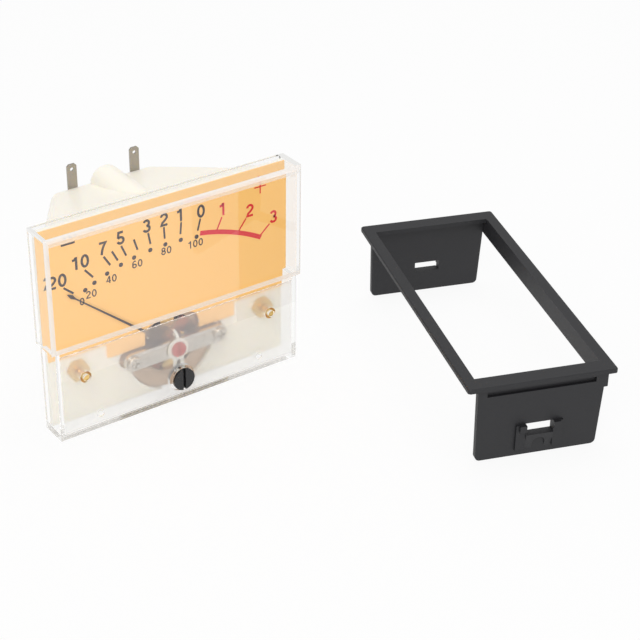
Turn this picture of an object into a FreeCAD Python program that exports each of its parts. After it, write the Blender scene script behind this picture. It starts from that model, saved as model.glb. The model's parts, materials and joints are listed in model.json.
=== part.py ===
import FreeCAD, Part
import math
import os

# Driving dimensions in millimetres. X is to the right, Y goes back, Z is up.
# The origin is the middle of the cover's flat bottom face, on which the meter stands.

# Front cover
COVER_WIDTH = 90.0
COVER_HEIGHT = 70.0
COVER_DEPTH = 11.0
WINDOW_BOTTOM = 31.0
LOWER_WIDTH = 87.4
LOWER_SETBACK = 1.0
COVER_WALL = 1.5
WINDOW_THICKNESS = 2.0
LOWER_THICKNESS = 1.5
WINDOW_BEVEL = 1.1
LOWER_BEVEL = 0.4
STEP_STRIP = 1.8
PIP_OFFSET = 29.3
PIP_HEIGHT = 4.8
PIP_RADIUS = 1.2
PIP_LENGTH = 1.0

# Clearances
FIT = 0.05
RUNNING_FIT = 0.06
SHELL_FIT = 0.3

# Cover fastening
COVER_SCREW_OFFSET = 33.8
COVER_SCREW_HEIGHT = 19.7
COVER_SCREW_RADIUS = 1.1
COVER_SCREW_HEAD_RADIUS = 2.1
COVER_SCREW_HEAD = 1.5
COVER_SCREW_TIP_RECESS = 0.5
COVER_POST_RADIUS = 1.9
COVER_POST_LENGTH = 3.5
HEX_SPACER_FLATS = 6.2
SLOT_WIDTH = 0.6
SLOT_DEPTH = 0.6

# Dial
DIAL_GAP = 7.6
DIAL_THICKNESS = 0.5
DIAL_CLEARANCE = 0.25
DIAL_WING_BOTTOM = 24.9
DIAL_TAB_BOTTOM = 20.0
DIAL_TAB_HALF_WIDTH = 23.2
DIAL_NOTCH_HALF_WIDTH = 9.9
DIAL_NOTCH_TOP = 26.7
DIAL_NOTCH_CORNER = 4.0

# Movement
PIVOT_HEIGHT = 17.0
REST_ANGLE = -50.2
YOKE_RADIUS = 15.4
YOKE_BORE = 9.8
YOKE_GAP = 1.3
YOKE_LENGTH = 12.6
EAR_OFFSET = 15.7
EAR_RADIUS = 3.1
CORE_RADIUS = 7.9
CORE_LENGTH = 9.6
SUPPORT_WIDTH = 5.0
SUPPORT_THICKNESS = 0.6
SUPPORT_GAP = 0.9
FORMER_REACH = 8.6
FORMER_WALL = 0.3
FORMER_WIDTH = 4.0
FORMER_END_GAP = 0.4
WINDING_THICKNESS = 0.6
WINDING_SIDE_THICKNESS = 0.8
WINDING_WIDTH = 3.4
STAFF_RADIUS = 0.4
STAFF_TIP = 0.4
COLLET_RADIUS = 0.95
COLLET_LENGTH = 0.95
COLLET_FLANGE_RADIUS = 1.5
COLLET_FLANGE = 0.2

# Pointer
POINTER_LENGTH = 46.6
POINTER_GAP = 0.4
POINTER_THICKNESS = 0.2
POINTER_ROOT_WIDTH = 1.0
POINTER_NECK_WIDTH = 0.4
POINTER_TIP_WIDTH = 0.3
POINTER_HEAD_LENGTH = 3.4
POINTER_HEAD_WIDTH = 1.3
POINTER_TAIL = 7.2
BALANCE_ARM = 5.4
BALANCE_ARM_WIDTH = 0.6
BALANCE_RADIUS = 0.55
TAIL_WEIGHT_RADIUS = 1.2
TAIL_WEIGHT_LENGTH = 1.6

# Hairsprings
SPRING_HALF_TURNS = 11
SPRING_OUTER_RADIUS = 4.0
SPRING_STRIP = 0.14
SPRING_WIDTH = 0.3
SPRING_CLEARANCE = 0.1
SPRING_END_ANGLE = -90.0

# Bridges and screws
BRIDGE_THICKNESS = 1.1
BRIDGE_HALF_WIDTH = 3.0
BRIDGE_HUB_RADIUS = 3.6
BRIDGE_RIB_OFFSET = 10.3
BRIDGE_RIB = 0.3
BRIDGE_RIB_SPAN = 2.4
FRONT_SPACER_LENGTH = 3.4
REAR_SPACER_LENGTH = 3.0
SPACER_RADIUS = 2.1
SCREW_RADIUS = 1.25
SCREW_HEAD_RADIUS = 2.3
SCREW_HEAD = 1.2
SCREW_GRIP = 5.0
CROSS_WIDTH = 0.7
CROSS_SPAN = 2.8
JEWEL_SCREW_RADIUS = 2.45
JEWEL_SCREW_STANDOFF = 1.4
JEWEL_SCREW_TAIL = 0.3
JEWEL_RADIUS = 1.0
JEWEL_DEPTH = 0.7
JEWEL_CUP_DEPTH = 0.5
STOP_ANGLE = 57.5
STOP_RADIUS_FROM_PIVOT = 11.0
STOP_PIN_RADIUS = 0.35

# Zero adjustment
LEVER_THICKNESS = 0.5
LEVER_GAP = 0.25
LEVER_RING_RADIUS = 3.7
LEVER_TAIL_LIFT = 7.4
LEVER_TAIL_SWING = -1.4
LEVER_TAIL_WIDTH = 1.0
FORK_ARM_HALF_WIDTH = 1.9
FORK_ROOT_LENGTH = 4.6
FORK_SLOT_HALF_WIDTH = 0.72
ADJUSTER_HEIGHT = 7.3
ADJUSTER_RADIUS = 3.75
ADJUSTER_PROUD = 0.7
ADJUSTER_SEAT = 1.0
ADJUSTER_STEM_RADIUS = 3.2
ADJUSTER_SLOT = 0.9
ADJUSTER_SLOT_DEPTH = 1.0
ADJUSTER_PIN_OFFSET = 2.6
ADJUSTER_PIN_RADIUS = 0.55
ADJUSTER_PIN_LENGTH = 1.1
ADJUSTER_BOSS_RADIUS = 4.5
ADJUSTER_BOSS_LENGTH = 1.3

# Rear housing
HOUSING_WALL = 1.6
FLOOR_THICKNESS = 1.6
FUNNEL_SIDE_MARGIN = 2.8
FUNNEL_TOP_MARGIN = 2.7
FUNNEL_FRONT_BOTTOM = 24.9
FUNNEL_REAR_HALF_WIDTH = 19.5
FUNNEL_REAR_BOTTOM = 33.0
FUNNEL_ROOF_DROP = 11.0
FUNNEL_REAR = 46.0
FUNNEL_CORNER = 3.0
BOX_HALF_WIDTH = 21.0
BOX_TOP = 34.5
BOX_REAR = 33.5
BOX_CORNER = 2.0
LAMP_BOSS_RADIUS = 5.4
LAMP_BOSS_FRONT = 22.0
LAMP_BORE = 3.9
LAMP_HOLDER_LENGTH = 4.0
LAMP_RADIUS = 2.0
LAMP_LENGTH = 8.0
LAMP_PIN_RADIUS = 0.35
LAMP_PIN_LENGTH = 3.0
LAMP_PIN_OFFSET = 1.3

# Terminals
LUG_OFFSET = 11.3
LUG_WIDTH = 3.4
LUG_THICKNESS = 0.5
LUG_RISE = 8.4
LUG_EYE_DROP = 1.8
LUG_EYE_RADIUS = 0.6
LUG_PAD_RADIUS = 2.7
LUG_SCREW_DROP = 8.0
LUG_SCREW_LENGTH = 4.2
LUG_CORNER = 0.7

# Panel bezel, which stands beside the meter on its two legs
BEZEL_X = 90.4
BEZEL_Y = -41.2
BEZEL_TURN = -109.8
BEZEL_SIDE_CLEARANCE = 0.7
BEZEL_END_CLEARANCE = 3.2
BEZEL_FLANGE_SIDE = 3.8
BEZEL_FLANGE_END = 5.6
BEZEL_FLANGE = 1.5
BEZEL_CORNER = 1.0
BEZEL_HEIGHT = 26.7
BEZEL_SKIRT = 6.5
BEZEL_SKIRT_WALL = 1.2
BEZEL_LEG_WALL = 1.8
BEZEL_LEG_INSET = 3.5
BEZEL_LEG_OFFSET = 2.8
BEZEL_LEG_TAPER = 1.5
BEZEL_LEG_OPEN_TAPER = 0.4
BEZEL_LEG_CORNER = 1.6
LATCH_WIDTH = 8.8
LATCH_HEIGHT = 3.6
LATCH_BOTTOM = 7.4
RIB_WIDTH = 3.2
RIB_PROUD = 0.7
RIB_BOTTOM = 2.0
HOOK_HEIGHT = 2.2
HOOK_WIDTH = 2.2
HOOK_PROUD = 1.5
RAMP_PROUD = 1.2
RAMP_NOTCH_RADIUS = 2.0
RAMP_NOTCH_HEIGHT = 3.9
GROOVE_HEIGHT = 1.7
GROOVE_DROP = 1.0
GROOVE_DEPTH = 1.0
GROOVE_MARGIN = 3.0

# Places worked out from the sizes above
FRONT = -COVER_DEPTH / 2
REAR = COVER_DEPTH / 2
LOWER_FRONT = FRONT + LOWER_SETBACK
WINDOW_BACK = FRONT + WINDOW_THICKNESS
PANEL_BACK = LOWER_FRONT + LOWER_THICKNESS
DIAL_FRONT = FRONT + DIAL_GAP
DIAL_BACK = DIAL_FRONT + DIAL_THICKNESS
FLOOR_BACK = DIAL_BACK + FLOOR_THICKNESS
YOKE_FRONT = DIAL_BACK + YOKE_GAP
YOKE_BACK = YOKE_FRONT + YOKE_LENGTH
BRIDGE_BACK = YOKE_FRONT - FRONT_SPACER_LENGTH
BRIDGE_FRONT = BRIDGE_BACK - BRIDGE_THICKNESS
LEVER_BACK = BRIDGE_FRONT - LEVER_GAP
LEVER_FRONT = LEVER_BACK - LEVER_THICKNESS
JEWEL_SCREW_FRONT = BRIDGE_FRONT - JEWEL_SCREW_STANDOFF
JEWEL_SCREW_BACK = BRIDGE_BACK + JEWEL_SCREW_TAIL
POINTER_BACK = DIAL_FRONT - POINTER_GAP
POINTER_FRONT = POINTER_BACK - POINTER_THICKNESS
FRONT_SUPPORT = YOKE_FRONT + SUPPORT_GAP
CORE_FRONT = FRONT_SUPPORT + SUPPORT_THICKNESS
CORE_BACK = CORE_FRONT + CORE_LENGTH
FORMER_INNER_FRONT = FRONT_SUPPORT - FORMER_END_GAP
FORMER_INNER_BACK = CORE_BACK + SUPPORT_THICKNESS + FORMER_END_GAP
REAR_BRIDGE_FRONT = YOKE_BACK + REAR_SPACER_LENGTH
REAR_BRIDGE_BACK = REAR_BRIDGE_FRONT + BRIDGE_THICKNESS
REAR_JEWEL_FRONT = REAR_BRIDGE_FRONT - JEWEL_SCREW_TAIL
BOX_BACK = FRONT + BOX_REAR
FUNNEL_BACK = FRONT + FUNNEL_REAR
FUNNEL_FRONT_HALF_WIDTH = COVER_WIDTH / 2 - FUNNEL_SIDE_MARGIN
FUNNEL_FRONT_TOP = COVER_HEIGHT - FUNNEL_TOP_MARGIN
FUNNEL_REAR_TOP = COVER_HEIGHT - FUNNEL_ROOF_DROP
LUG_TOP = FUNNEL_REAR_TOP + LUG_RISE
LUG_SCREW_HEIGHT = FUNNEL_REAR_TOP - LUG_SCREW_DROP
SCREW_BORE = SCREW_RADIUS + FIT
SIDES = (-1, 1)

Y_AXIS = FreeCAD.Vector(0, 1, 0)
Z_AXIS = FreeCAD.Vector(0, 0, 1)
PIVOT = FreeCAD.Vector(0, 0, PIVOT_HEIGHT)


def box(x0, x1, y0, y1, z0, z1):
    """A block between two corners."""
    return Part.makeBox(x1 - x0, y1 - y0, z1 - z0, FreeCAD.Vector(x0, y0, z0))


def rod(x, z, radius, y0, y1):
    """A round bar along Y."""
    return Part.makeCylinder(radius, y1 - y0, FreeCAD.Vector(x, y0, z), Y_AXIS)


def tube(x, z, radius, bore, y0, y1):
    """A round sleeve along Y."""
    return rod(x, z, radius, y0, y1).cut(rod(x, z, bore, y0, y1))


def both(make):
    """The same piece on the left and on the right."""
    return [make(side) for side in SIDES]


def fuse(first, *others):
    """Joins solids and removes the seams between them."""
    return first.fuse(list(others)).removeSplitter()


def plate(points, y0, y1):
    """A flat plate cut to a straight-sided outline in X and Z."""
    corners = [FreeCAD.Vector(x, y0, z) for x, z in points]
    outline = Part.makePolygon(corners + corners[:1])
    return Part.Face(outline).extrude(FreeCAD.Vector(0, y1 - y0, 0))


def rounded_outline(half_width, z0, z1, radius, y):
    """A rounded rectangle in X and Z at one depth."""
    block = box(-half_width, half_width, y, y + 1, z0, z1)
    edges = [e for e in block.Edges if abs(e.tangentAt(e.FirstParameter).y) > 0.5]
    block = block.makeFillet(radius, edges)
    face = min(block.Faces, key=lambda f: f.CenterOfMass.y)
    return face.OuterWire


def rounded_plate(half_width, z0, z1, radius, y0, y1):
    """A plate with rounded corners."""
    outline = rounded_outline(half_width, z0, z1, radius, y0)
    return Part.Face(outline).extrude(FreeCAD.Vector(0, y1 - y0, 0))


def turned(shape, angle=REST_ANGLE):
    """Turns a moving piece about the pivot, as seen from the front."""
    copy = shape.copy()
    copy.rotate(PIVOT, Y_AXIS, angle)
    return copy


def near_plane(edge, axis, value, tolerance=0.01):
    """True for an edge that lies in a plane across one axis."""
    low = getattr(edge.BoundBox, axis + "Min")
    high = getattr(edge.BoundBox, axis + "Max")
    return abs(low - value) < tolerance and abs(high - value) < tolerance


def cross_recess(x, z, y, depth):
    """The cross-shaped recess in a screw head that faces the front."""
    half, span = CROSS_WIDTH / 2, CROSS_SPAN / 2
    flat = box(x - span, x + span, y, y + depth, z - half, z + half)
    upright = box(x - half, x + half, y, y + depth, z - span, z + span)
    return flat.fuse(upright)


def front_cover():
    """Clear moulding: a bevelled window above a panel that is set back."""
    window = box(-COVER_WIDTH / 2, COVER_WIDTH / 2, FRONT, REAR, WINDOW_BOTTOM, COVER_HEIGHT)
    window = window.makeChamfer(WINDOW_BEVEL, [e for e in window.Edges if near_plane(e, "Y", FRONT)])
    panel = box(-LOWER_WIDTH / 2, LOWER_WIDTH / 2, LOWER_FRONT, REAR, 0, WINDOW_BOTTOM)
    rim = [e for e in panel.Edges if near_plane(e, "Y", LOWER_FRONT) and not near_plane(e, "Z", WINDOW_BOTTOM)]
    panel = panel.makeChamfer(LOWER_BEVEL, rim)
    shell = window.fuse(panel)
    window_half = COVER_WIDTH / 2 - COVER_WALL
    panel_half = LOWER_WIDTH / 2 - COVER_WALL
    strip_bottom = WINDOW_BOTTOM - STEP_STRIP
    shell = shell.cut(box(-window_half, window_half, WINDOW_BACK, REAR, WINDOW_BOTTOM, COVER_HEIGHT - COVER_WALL))
    shell = shell.cut(box(-panel_half, panel_half, WINDOW_BACK, REAR, strip_bottom, WINDOW_BOTTOM))
    shell = shell.cut(box(-panel_half, panel_half, PANEL_BACK, REAR, COVER_WALL, strip_bottom))
    posts = both(lambda s: rod(s * COVER_SCREW_OFFSET, COVER_SCREW_HEIGHT, COVER_POST_RADIUS,
                               PANEL_BACK, PANEL_BACK + COVER_POST_LENGTH))
    pips = both(lambda s: rod(s * PIP_OFFSET, PIP_HEIGHT, PIP_RADIUS, PANEL_BACK, PANEL_BACK + PIP_LENGTH))
    boss = rod(0, ADJUSTER_HEIGHT, ADJUSTER_BOSS_RADIUS, PANEL_BACK, PANEL_BACK + ADJUSTER_BOSS_LENGTH)
    shell = fuse(shell, boss, *posts, *pips)
    holes = both(lambda s: rod(s * COVER_SCREW_OFFSET, COVER_SCREW_HEIGHT, COVER_SCREW_RADIUS + FIT, FRONT, REAR))
    stem_bore = rod(0, ADJUSTER_HEIGHT, ADJUSTER_STEM_RADIUS + RUNNING_FIT, FRONT, REAR)
    seat = rod(0, ADJUSTER_HEIGHT, ADJUSTER_RADIUS + RUNNING_FIT, FRONT, LOWER_FRONT + ADJUSTER_SEAT)
    return shell.cut([*holes, stem_bore, seat])


def dial_plate():
    """Thin printed plate with a lower tab and a notch round the movement."""
    wide = COVER_WIDTH / 2 - COVER_WALL - DIAL_CLEARANCE
    narrow = LOWER_WIDTH / 2 - COVER_WALL - DIAL_CLEARANCE
    top = COVER_HEIGHT - COVER_WALL - DIAL_CLEARANCE
    step = WINDOW_BOTTOM + DIAL_CLEARANCE
    tab = DIAL_TAB_HALF_WIDTH
    right = [(tab, DIAL_TAB_BOTTOM), (tab, DIAL_WING_BOTTOM), (narrow, DIAL_WING_BOTTOM),
             (narrow, step), (wide, step), (wide, top)]
    left = [(-x, z) for x, z in reversed(right)]
    sheet = plate(right + left, DIAL_FRONT, DIAL_BACK)
    notch = rounded_plate(DIAL_NOTCH_HALF_WIDTH, DIAL_TAB_BOTTOM - DIAL_NOTCH_CORNER * 2, DIAL_NOTCH_TOP,
                          DIAL_NOTCH_CORNER, DIAL_FRONT, DIAL_BACK)
    return sheet.cut(notch)


def funnel(inset, front, back):
    """The tapered light box, drawn in by a wall thickness for its hollow."""
    wide = rounded_outline(FUNNEL_FRONT_HALF_WIDTH - inset, FUNNEL_FRONT_BOTTOM + inset,
                           FUNNEL_FRONT_TOP - inset, FUNNEL_CORNER - inset, front)
    narrow = rounded_outline(FUNNEL_REAR_HALF_WIDTH - inset, FUNNEL_REAR_BOTTOM + inset,
                             FUNNEL_REAR_TOP - inset, FUNNEL_CORNER - inset, back)
    return Part.makeLoft([wide, narrow], True, True)


def yoke_outline(grow, y0, y1):
    """The round yoke with its two ears, grown by a clearance."""
    disc = rod(0, PIVOT_HEIGHT, YOKE_RADIUS + grow, y0, y1)
    ears = both(lambda s: rod(s * EAR_OFFSET, PIVOT_HEIGHT, EAR_RADIUS + grow, y0, y1))
    return fuse(disc, *ears)


def lamp_boss():
    """Half-round boss for the lamp, with a softened rear edge."""
    boss = rod(0, FUNNEL_REAR_TOP, LAMP_BOSS_RADIUS, FRONT + LAMP_BOSS_FRONT, FUNNEL_BACK)
    rim = [e for e in boss.Edges if near_plane(e, "Y", FUNNEL_BACK)]
    boss = boss.makeFillet(HOUSING_WALL / 2, rim)
    lower = FUNNEL_REAR_TOP - LAMP_BOSS_RADIUS
    under = box(-LAMP_BOSS_RADIUS, LAMP_BOSS_RADIUS, FRONT + LAMP_BOSS_FRONT, FUNNEL_BACK, lower, FUNNEL_REAR_TOP)
    return boss.cut(under)


def rear_housing():
    """Translucent moulding: floor plate, light funnel, movement box and lamp boss."""
    wide = COVER_WIDTH / 2 - COVER_WALL - SHELL_FIT
    narrow = LOWER_WIDTH / 2 - COVER_WALL - SHELL_FIT
    low = COVER_WALL + SHELL_FIT
    step = WINDOW_BOTTOM + SHELL_FIT
    top = COVER_HEIGHT - COVER_WALL - SHELL_FIT
    right = [(narrow, low), (narrow, step), (wide, step), (wide, top)]
    left = [(-x, z) for x, z in reversed(right)]
    floor = plate(right + left, DIAL_BACK, FLOOR_BACK)
    neck = rounded_plate(BOX_HALF_WIDTH, low, BOX_TOP, BOX_CORNER, FLOOR_BACK, REAR)
    case = rounded_plate(BOX_HALF_WIDTH, 0, BOX_TOP, BOX_CORNER, REAR, BOX_BACK)
    solid = fuse(floor, funnel(0, DIAL_BACK, FUNNEL_BACK), neck, case, lamp_boss())
    light_box = funnel(HOUSING_WALL, DIAL_BACK, FUNNEL_BACK - HOUSING_WALL)
    bay = rounded_plate(BOX_HALF_WIDTH - HOUSING_WALL + FIT, COVER_WALL + FIT, BOX_TOP - HOUSING_WALL,
                        BOX_CORNER / 2, FLOOR_BACK, BOX_BACK - HOUSING_WALL)
    hollow = fuse(light_box, bay, yoke_outline(SHELL_FIT, DIAL_BACK, FLOOR_BACK))
    lamp_bore = rod(0, FUNNEL_REAR_TOP, LAMP_BORE, FRONT + LAMP_BOSS_FRONT + LAMP_BOSS_RADIUS, FUNNEL_BACK)
    solid = solid.cut([hollow, lamp_bore])
    pillars = both(lambda s: rod(s * EAR_OFFSET, PIVOT_HEIGHT, EAR_RADIUS, REAR_BRIDGE_BACK, BOX_BACK - HOUSING_WALL))
    pads = both(lambda s: rod(s * LUG_OFFSET, LUG_SCREW_HEIGHT, LUG_PAD_RADIUS,
                              FUNNEL_BACK - LUG_SCREW_LENGTH, FUNNEL_BACK - HOUSING_WALL))
    solid = fuse(solid, *pillars, *pads)
    screw_ways = both(lambda s: rod(s * EAR_OFFSET, PIVOT_HEIGHT, SCREW_BORE, REAR_BRIDGE_BACK, BOX_BACK))
    lug_ways = both(lambda s: rod(s * LUG_OFFSET, LUG_SCREW_HEIGHT, SCREW_BORE,
                                  FUNNEL_BACK - LUG_SCREW_LENGTH, FUNNEL_BACK))
    cover_ways = both(lambda s: rod(s * COVER_SCREW_OFFSET, COVER_SCREW_HEIGHT, COVER_SCREW_RADIUS + FIT,
                                    DIAL_BACK, FLOOR_BACK))
    return solid.cut([*screw_ways, *lug_ways, *cover_ways])


def cover_screw(side):
    """Brass screw whose tip shows at the front of the clear post."""
    x = side * COVER_SCREW_OFFSET
    tip = LOWER_FRONT + COVER_SCREW_TIP_RECESS
    shank = rod(x, COVER_SCREW_HEIGHT, COVER_SCREW_RADIUS, tip, FLOOR_BACK)
    head = rod(x, COVER_SCREW_HEIGHT, COVER_SCREW_HEAD_RADIUS, FLOOR_BACK, FLOOR_BACK + COVER_SCREW_HEAD)
    back = FLOOR_BACK + COVER_SCREW_HEAD
    slot = box(x - COVER_SCREW_HEAD_RADIUS, x + COVER_SCREW_HEAD_RADIUS, back - SLOT_DEPTH, back,
               COVER_SCREW_HEIGHT - SLOT_WIDTH / 2, COVER_SCREW_HEIGHT + SLOT_WIDTH / 2)
    return fuse(shank, head).cut(slot)


def hex_spacer(side):
    """Brass hexagon between the clear post and the floor of the housing."""
    x = side * COVER_SCREW_OFFSET
    corner = HEX_SPACER_FLATS / math.sqrt(3)
    turns = [math.radians(60 * k) for k in range(6)]
    points = [(x + corner * math.cos(a), COVER_SCREW_HEIGHT + corner * math.sin(a)) for a in turns]
    front = PANEL_BACK + COVER_POST_LENGTH
    body = plate(points, front, DIAL_BACK)
    return body.cut(rod(x, COVER_SCREW_HEIGHT, COVER_SCREW_RADIUS + FIT, front, DIAL_BACK))


def movement_yoke():
    """Soft iron return ring with two threaded ears."""
    ring = yoke_outline(0, YOKE_FRONT, YOKE_BACK)
    bore = rod(0, PIVOT_HEIGHT, YOKE_BORE, YOKE_FRONT, YOKE_BACK)
    threads = both(lambda s: rod(s * EAR_OFFSET, PIVOT_HEIGHT, SCREW_BORE, YOKE_FRONT, YOKE_BACK))
    return ring.cut([bore, *threads])


def core_support(y0):
    """Brass strip across the bore that holds the magnet, clear of the coil."""
    y1 = y0 + SUPPORT_THICKNESS
    strip = box(-SUPPORT_WIDTH / 2, SUPPORT_WIDTH / 2, y0, y1, PIVOT_HEIGHT - YOKE_BORE, PIVOT_HEIGHT + YOKE_BORE)
    return strip.common(rod(0, PIVOT_HEIGHT, YOKE_BORE, y0, y1))


def core_magnet():
    """Cylindrical magnet inside the coil."""
    return rod(0, PIVOT_HEIGHT, CORE_RADIUS, CORE_FRONT, CORE_BACK)


def loop(reach, y0, y1, width):
    """A block that spans the pivot, used for the coil's frame and its turns."""
    return box(-reach, reach, y0, y1, PIVOT_HEIGHT - width / 2, PIVOT_HEIGHT + width / 2)


def coil_former():
    """Thin rectangular aluminium frame that turns round the magnet."""
    outer = loop(FORMER_REACH, FORMER_INNER_FRONT - FORMER_WALL, FORMER_INNER_BACK + FORMER_WALL, FORMER_WIDTH)
    inner = loop(FORMER_REACH - FORMER_WALL, FORMER_INNER_FRONT, FORMER_INNER_BACK, FORMER_WIDTH)
    return turned(outer.cut(inner))


def coil_winding():
    """Copper turns on the former, with a gap for the staffs at both ends."""
    front = FORMER_INNER_FRONT - FORMER_WALL
    back = FORMER_INNER_BACK + FORMER_WALL
    outer = loop(FORMER_REACH + WINDING_SIDE_THICKNESS, front - WINDING_THICKNESS, back + WINDING_THICKNESS,
                 WINDING_WIDTH)
    inner = loop(FORMER_REACH, front, back, WINDING_WIDTH)
    way = rod(0, PIVOT_HEIGHT, COLLET_RADIUS, front - WINDING_THICKNESS, back + WINDING_THICKNESS)
    return turned(outer.cut([inner, way]))


def staff(tip, foot):
    """Hardened staff with a pointed end that runs in a jewel."""
    way = 1 if foot > tip else -1
    shoulder = tip + way * STAFF_TIP
    y0, y1 = min(shoulder, foot), max(shoulder, foot)
    body = rod(0, PIVOT_HEIGHT, STAFF_RADIUS, y0, y1)
    point = Part.makeCone(0, STAFF_RADIUS, STAFF_TIP, FreeCAD.Vector(0, tip, PIVOT_HEIGHT), Y_AXIS * way)
    return fuse(body, point)


def front_staff():
    """Front half-axle, from the front jewel to the coil former."""
    return staff(JEWEL_SCREW_BACK - JEWEL_CUP_DEPTH + FIT, FORMER_INNER_FRONT - FORMER_WALL)


def rear_staff():
    """Rear half-axle, from the rear jewel to the coil former."""
    return staff(REAR_JEWEL_FRONT + JEWEL_CUP_DEPTH - FIT, FORMER_INNER_BACK + FORMER_WALL)


def pointer_collet():
    """Brass collet that carries the pointer and the inner end of the front spring."""
    front = POINTER_BACK + COLLET_FLANGE - COLLET_LENGTH
    back = POINTER_BACK + COLLET_FLANGE
    sleeve = rod(0, PIVOT_HEIGHT, COLLET_RADIUS, front, back)
    flange = rod(0, PIVOT_HEIGHT, COLLET_FLANGE_RADIUS, POINTER_BACK, back)
    return fuse(sleeve, flange).cut(rod(0, PIVOT_HEIGHT, STAFF_RADIUS, front, back))


def rear_collet():
    """Brass collet for the inner end of the rear spring."""
    front = FORMER_INNER_BACK + FORMER_WALL + WINDING_THICKNESS
    return tube(0, PIVOT_HEIGHT, COLLET_RADIUS, STAFF_RADIUS, front, front + COLLET_LENGTH)


def pointer():
    """Tapered blade with a spear head, a short tail and two balance arms."""
    arm = BALANCE_ARM_WIDTH / 2
    top = PIVOT_HEIGHT + POINTER_LENGTH
    neck = top - POINTER_HEAD_LENGTH
    right = [(POINTER_ROOT_WIDTH / 2, PIVOT_HEIGHT), (POINTER_NECK_WIDTH / 2, neck),
             (POINTER_HEAD_WIDTH / 2, (neck + top) / 2), (POINTER_TIP_WIDTH / 2, top)]
    left = [(-x, z) for x, z in reversed(right)]
    blade = plate(right + left, POINTER_FRONT, POINTER_BACK)
    tail = box(-arm, arm, POINTER_FRONT, POINTER_BACK, PIVOT_HEIGHT - POINTER_TAIL, PIVOT_HEIGHT)
    arms = box(-BALANCE_ARM, BALANCE_ARM, POINTER_FRONT, POINTER_BACK, PIVOT_HEIGHT - arm, PIVOT_HEIGHT + arm)
    hub = rod(0, PIVOT_HEIGHT, COLLET_FLANGE_RADIUS, POINTER_FRONT, POINTER_BACK)
    shape = fuse(blade, tail, arms, hub)
    return turned(shape.cut(rod(0, PIVOT_HEIGHT, COLLET_RADIUS, POINTER_FRONT, POINTER_BACK)))


def balance_weights():
    """Weight behind the tail and two beads on the arms that balance the pointer."""
    y0, y1 = POINTER_FRONT - BALANCE_RADIUS, POINTER_FRONT
    side = [rod(s * (BALANCE_ARM - BALANCE_RADIUS), PIVOT_HEIGHT, BALANCE_RADIUS, y0, y1) for s in SIDES]
    tail_height = PIVOT_HEIGHT - POINTER_TAIL + TAIL_WEIGHT_RADIUS
    tail = rod(0, tail_height, TAIL_WEIGHT_RADIUS, POINTER_BACK, POINTER_BACK + TAIL_WEIGHT_LENGTH)
    return turned(Part.makeCompound([tail, *side]))


def half_turn(radius, centre_x, upper, y):
    """One semicircle of the spiral, in the X and Z plane."""
    lift = radius if upper else -radius
    start = FreeCAD.Vector(centre_x - radius, y, PIVOT_HEIGHT)
    middle = FreeCAD.Vector(centre_x, y, PIVOT_HEIGHT + lift)
    end = FreeCAD.Vector(centre_x + radius, y, PIVOT_HEIGHT)
    return Part.Arc(start, middle, end).toShape()


def hairspring(y0):
    """Flat spiral strip made of semicircles, each a little larger than the last."""
    step = (SPRING_OUTER_RADIUS - COLLET_RADIUS - SPRING_STRIP) / (SPRING_HALF_TURNS + 1)
    strips = []
    inner = COLLET_RADIUS + step
    for index in range(SPRING_HALF_TURNS):
        upper = index % 2 == 0
        offset = step if upper else 0.0
        inside = half_turn(inner, offset, upper, y0)
        outside = half_turn(inner + SPRING_STRIP, offset, upper, y0)
        ends = [(offset + s * inner, offset + s * (inner + SPRING_STRIP)) for s in SIDES]
        caps = [Part.makeLine((a, y0, PIVOT_HEIGHT), (b, y0, PIVOT_HEIGHT)) for a, b in ends]
        face = Part.Face(Part.Wire(Part.__sortEdges__([inside, outside, *caps])))
        strips.append(face.extrude(FreeCAD.Vector(0, SPRING_WIDTH, 0)))
        inner = inner + step
    return turned(fuse(*strips), SPRING_END_ANGLE)


def bridge(y0, y1, outward):
    """Nickel-plated bar with rounded ends that holds a jewel screw."""
    half = BRIDGE_HALF_WIDTH
    bar = box(-EAR_OFFSET, EAR_OFFSET, y0, y1, PIVOT_HEIGHT - half, PIVOT_HEIGHT + half)
    ends = both(lambda s: rod(s * EAR_OFFSET, PIVOT_HEIGHT, half, y0, y1))
    hub = rod(0, PIVOT_HEIGHT, BRIDGE_HUB_RADIUS, y0, y1)
    face = y0 - BRIDGE_RIB if outward < 0 else y1
    span = BRIDGE_RIB_SPAN / 2
    ribs = both(lambda s: box(s * BRIDGE_RIB_OFFSET - BRIDGE_RIB, s * BRIDGE_RIB_OFFSET + BRIDGE_RIB,
                              face, face + BRIDGE_RIB, PIVOT_HEIGHT - span, PIVOT_HEIGHT + span))
    solid = fuse(bar, hub, *ends, *ribs)
    holes = both(lambda s: rod(s * EAR_OFFSET, PIVOT_HEIGHT, SCREW_BORE, y0, y1))
    return solid.cut([rod(0, PIVOT_HEIGHT, JEWEL_SCREW_RADIUS + FIT, y0, y1), *holes])


def spacers(y0, y1):
    """A pair of sleeves between a bridge and the yoke's ears."""
    return Part.makeCompound(both(lambda s: tube(s * EAR_OFFSET, PIVOT_HEIGHT, SPACER_RADIUS, SCREW_BORE, y0, y1)))


def bridge_screw(side):
    """Cross-head screw that clamps the front bridge."""
    x = side * EAR_OFFSET
    front = BRIDGE_FRONT - SCREW_HEAD
    head = rod(x, PIVOT_HEIGHT, SCREW_HEAD_RADIUS, front, BRIDGE_FRONT)
    crown = [e for e in head.Edges if near_plane(e, "Y", front)]
    head = head.makeFillet(SCREW_HEAD / 2, crown)
    shank = rod(x, PIVOT_HEIGHT, SCREW_RADIUS, BRIDGE_FRONT, YOKE_FRONT + SCREW_GRIP)
    return fuse(head, shank).cut(cross_recess(x, PIVOT_HEIGHT, front, SLOT_DEPTH))


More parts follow.
